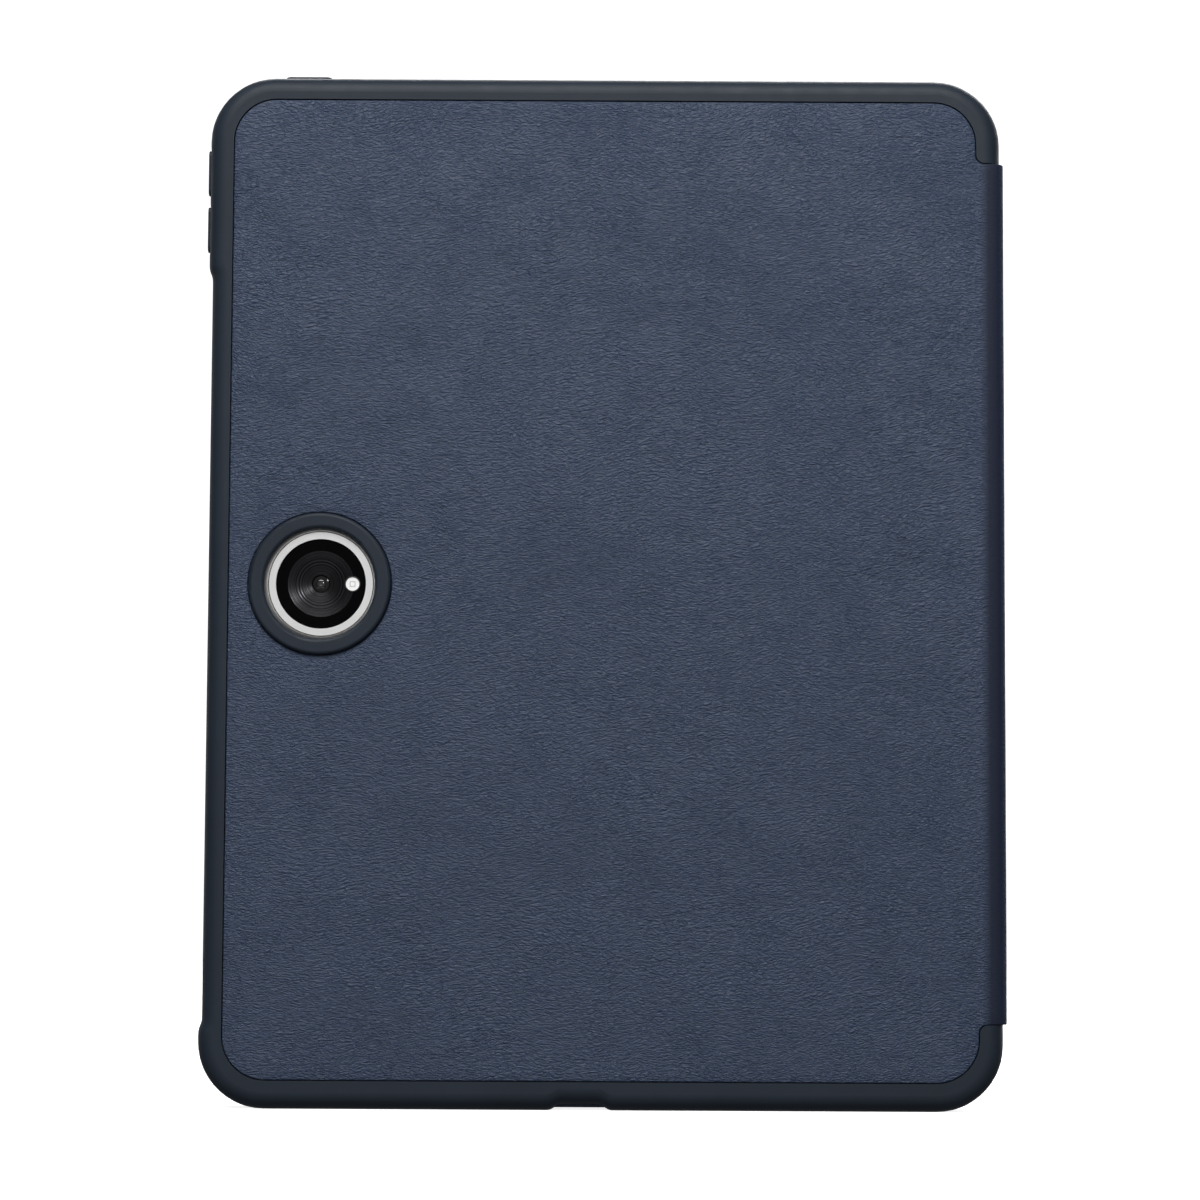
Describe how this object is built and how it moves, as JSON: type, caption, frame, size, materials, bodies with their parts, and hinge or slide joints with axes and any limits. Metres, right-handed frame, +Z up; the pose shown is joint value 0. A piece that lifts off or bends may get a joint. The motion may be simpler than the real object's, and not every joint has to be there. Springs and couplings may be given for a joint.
{
  "type": "tablet keyboard case",
  "caption": "Closed folio keyboard case with soft bumper shell, leather back and spine, folding cover, removable keyboard and a tablet held inside.",
  "frame": {"origin": "bottom centre of the closed case, standing on its short edge", "axes": "+Z up the height, +Y from the leather back to the front cover, +X to the spine"},
  "size_m": [0.2038, 0.0194, 0.2634],
  "materials": {
    "bumper_tpu": "matte soft-touch TPU",
    "leather": "fine creased grain, satin",
    "stiffener_board": "matte fibre board",
    "lining": "brushed microfibre",
    "button_tpu": "matte soft-touch TPU",
    "tablet_metal": "bead-blasted anodised",
    "tablet_key_metal": "satin anodised",
    "screen_glass": "polished cover glass, black backed",
    "display": "unlit display panel",
    "cell": "foil pouch",
    "circuit": "solder mask",
    "speaker_box": "moulded",
    "camera_trim": "polished silver with a fine outer bevel",
    "camera_window": "spun dark disc under gloss",
    "lens_glass": "coated lens",
    "flash_lens": "frosted white diffuser",
    "camera_body": "moulded",
    "port_metal": "stamped",
    "magnet": "nickel plated",
    "keyboard_case": "fine-textured ABS",
    "keyboard_deck": "fine-textured ABS",
    "keycaps": "soft matte, slightly polished tops",
    "membrane": "contact sheet",
    "screws": "blackened steel",
    "status_light": "clear light guide"
  },
  "bodies": {
    "shell": {"bumper_shell": "bumper_tpu", "back_leather": "leather", "back_board": "stiffener_board", "tablet_housing": "tablet_metal", "tablet_screen_glass": "screen_glass", "tablet_display": "display", "tablet_front_camera": "camera_body", "tablet_battery": "cell", "tablet_mainboard": "circuit", "tablet_speakers": "speaker_box", "tablet_charging_port": "port_metal", "camera_trim_ring": "camera_trim", "camera_window": "camera_window", "camera_lens": "lens_glass", "camera_flash": "flash_lens", "camera_module": "camera_body"},
    "spine": {"spine_leather": "leather", "spine_board": "stiffener_board", "spine_lining": "lining"},
    "cover_inner": {"cover_leather_inner": "leather", "cover_board_inner": "stiffener_board", "cover_lining_inner": "lining"},
    "cover_middle": {"cover_leather_middle": "leather", "cover_board_middle": "stiffener_board", "cover_lining_middle": "lining", "cover_keyboard_magnets": "magnet"},
    "cover_outer": {"cover_leather_outer": "leather", "cover_board_outer": "stiffener_board", "cover_lining_outer": "lining", "cover_closure_magnets": "magnet"},
    "keyboard": {"keyboard_deck": "keyboard_deck", "keyboard_base": "keyboard_case", "keyboard_status_lights": "status_light", "keyboard_magnets": "magnet", "keyboard_screws": "screws", "keyboard_charging_port": "port_metal", "keyboard_battery": "cell", "keyboard_membrane": "membrane", "keyboard_circuit_board": "circuit"},
    "keyboard_switch": {"keyboard_power_switch": "keycaps"},
    "power_cover": {"power_button_cover": "button_tpu"},
    "volume_up_cover": {"volume_up_cover": "button_tpu"},
    "volume_down_cover": {"volume_down_cover": "button_tpu"},
    "tablet_power": {"tablet_power_button": "tablet_key_metal"},
    "tablet_volume_up": {"tablet_volume_up_button": "tablet_key_metal"},
    "tablet_volume_down": {"tablet_volume_down_button": "tablet_key_metal"},
    "space_bar": {"space_bar": "keycaps"},
    "function_row": {"function_row_keycaps": "keycaps"},
    "number_row": {"number_row_keycaps": "keycaps"},
    "upper_row": {"upper_row_keycaps": "keycaps"},
    "home_row": {"home_row_keycaps": "keycaps"},
    "lower_row": {"lower_row_keycaps": "keycaps"},
    "space_row": {"space_row_keycaps": "keycaps"}
  },
  "joints": [
    {"name": "spine_hinge", "type": "hinge", "parent": "shell", "child": "spine", "pos_m": [0.10075, -0.00725, 0.1314], "axis": [0, 0, -1], "range_deg": [0, 175]},
    {"name": "cover_hinge", "type": "hinge", "parent": "spine", "child": "cover_inner", "pos_m": [0.10075, 0.0085, 0.1314], "axis": [0, 0, 1], "range_deg": [-175, 0]},
    {"name": "cover_fold_inner", "type": "hinge", "parent": "cover_inner", "child": "cover_middle", "pos_m": [0.03345, 0.0089, 0.1314], "axis": [0, 0, -1], "range_deg": [0, 120]},
    {"name": "cover_fold_outer", "type": "hinge", "parent": "cover_middle", "child": "cover_outer", "pos_m": [-0.03385, 0.0089, 0.1314], "axis": [0, 0, 1], "range_deg": [-120, 0]},
    {"name": "keyboard_release", "type": "slide", "parent": "cover_middle", "child": "keyboard", "axis": [-1, 0, 0], "range_m": [0, 0.14]},
    {"name": "keyboard_switch_slide", "type": "slide", "parent": "keyboard", "child": "keyboard_switch", "axis": [0, 0, 1], "range_m": [0, 0.002]},
    {"name": "power_press", "type": "slide", "parent": "shell", "child": "power_cover", "axis": [0, 0, -1], "range_m": [0, 0.0004], "stiffness_N_per_m": 900, "springref_m": -0.0004},
    {"name": "volume_up_press", "type": "slide", "parent": "shell", "child": "volume_up_cover", "axis": [1, 0, 0], "range_m": [0, 0.0004], "stiffness_N_per_m": 900, "springref_m": -0.0004},
    {"name": "volume_down_press", "type": "slide", "parent": "shell", "child": "volume_down_cover", "axis": [1, 0, 0], "range_m": [0, 0.0004], "stiffness_N_per_m": 900, "springref_m": -0.0004},
    {"name": "tablet_power_press", "type": "slide", "parent": "shell", "child": "tablet_power", "axis": [0, 0, -1], "range_m": [0, 0.0004], "stiffness_N_per_m": 300, "springref_m": -0.0004},
    {"name": "tablet_volume_up_press", "type": "slide", "parent": "shell", "child": "tablet_volume_up", "axis": [1, 0, 0], "range_m": [0, 0.0004], "stiffness_N_per_m": 300, "springref_m": -0.0004},
    {"name": "tablet_volume_down_press", "type": "slide", "parent": "shell", "child": "tablet_volume_down", "axis": [1, 0, 0], "range_m": [0, 0.0004], "stiffness_N_per_m": 300, "springref_m": -0.0004},
    {"name": "function_row_press", "type": "slide", "parent": "keyboard", "child": "function_row", "axis": [0, 1, 0], "range_m": [0, 0.0013], "stiffness_N_per_m": 400, "springref_m": -0.0005},
    {"name": "number_row_press", "type": "slide", "parent": "keyboard", "child": "number_row", "axis": [0, 1, 0], "range_m": [0, 0.0013], "stiffness_N_per_m": 400, "springref_m": -0.0005},
    {"name": "upper_row_press", "type": "slide", "parent": "keyboard", "child": "upper_row", "axis": [0, 1, 0], "range_m": [0, 0.0013], "stiffness_N_per_m": 400, "springref_m": -0.0005},
    {"name": "home_row_press", "type": "slide", "parent": "keyboard", "child": "home_row", "axis": [0, 1, 0], "range_m": [0, 0.0013], "stiffness_N_per_m": 400, "springref_m": -0.0005},
    {"name": "lower_row_press", "type": "slide", "parent": "keyboard", "child": "lower_row", "axis": [0, 1, 0], "range_m": [0, 0.0013], "stiffness_N_per_m": 400, "springref_m": -0.0005},
    {"name": "space_row_press", "type": "slide", "parent": "keyboard", "child": "space_row", "axis": [0, 1, 0], "range_m": [0, 0.0013], "stiffness_N_per_m": 400, "springref_m": -0.0005},
    {"name": "space_bar_press", "type": "slide", "parent": "keyboard", "child": "space_bar", "axis": [0, 1, 0], "range_m": [0, 0.0013], "stiffness_N_per_m": 400, "springref_m": -0.0005}
  ],
  "couplings": [
    {"joint": "tablet_power_press", "follows": "power_press", "ratio": 1},
    {"joint": "tablet_volume_up_press", "follows": "volume_up_press", "ratio": 1},
    {"joint": "tablet_volume_down_press", "follows": "volume_down_press", "ratio": 1}
  ]
}
